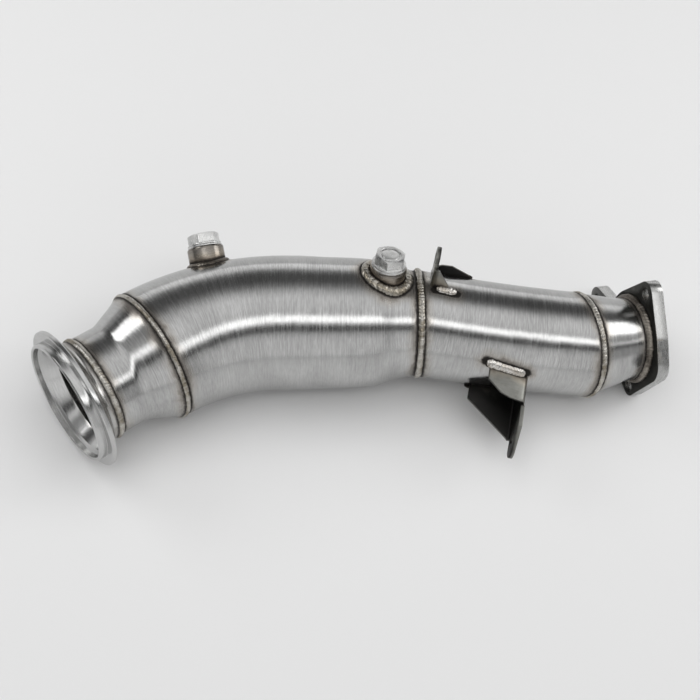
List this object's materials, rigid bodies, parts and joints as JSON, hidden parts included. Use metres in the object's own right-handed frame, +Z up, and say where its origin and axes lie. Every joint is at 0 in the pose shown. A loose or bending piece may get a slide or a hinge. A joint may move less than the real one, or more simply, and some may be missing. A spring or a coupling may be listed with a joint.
{
  "type": "turbo downpipe",
  "caption": "Welded stainless exhaust downpipe: flared inlet with a turned flange, a wide bend, a slimmer rear pipe, a lugged outlet flange, plugged sensor bosses and folded brackets.",
  "frame": {"origin": "centre of the inlet rim's front face, on the inlet's axis", "axes": "+X from the inlet end to the outlet end, along the part's length; +Y the horizontal direction across it, on the upper bracket's side; +Z up, with the part lying at rest on a floor"},
  "size_m": [0.4771, 0.1889, 0.12],
  "materials": {
    "brushed_tube": "brushed stainless tube with fine strokes round the pipe",
    "turned_steel": "satin turned stainless",
    "plate_steel": "satin ground plate edge",
    "bracket_sheet": "dull grey sheet with darker weld scale",
    "boss_steel": "turned steel with brown heat tint",
    "weld_bead": "rippled weld bead with straw heat tint",
    "zinc": "bright zinc plate"
  },
  "bodies": {
    "root": {"inlet_flange": "turned_steel", "inlet_flange_weld": "weld_bead", "inlet_cone": "brushed_tube", "cone_weld": "weld_bead", "main_pipe": "brushed_tube", "mid_weld": "weld_bead", "rear_pipe": "brushed_tube", "rear_weld": "weld_bead", "outlet_pipe": "brushed_tube", "outlet_flange_weld": "weld_bead", "outlet_flange": "plate_steel", "front_sensor_bung": "boss_steel", "front_bung_weld": "weld_bead", "front_plug_washer": "zinc", "front_bung_plug": "zinc", "rear_sensor_bung": "boss_steel", "rear_bung_weld": "weld_bead", "rear_plug_washer": "zinc", "rear_bung_plug": "zinc", "upper_bracket": "bracket_sheet", "upper_bracket_welds": "weld_bead", "lower_bracket": "bracket_sheet", "lower_bracket_welds": "weld_bead"}
  },
  "joints": []
}
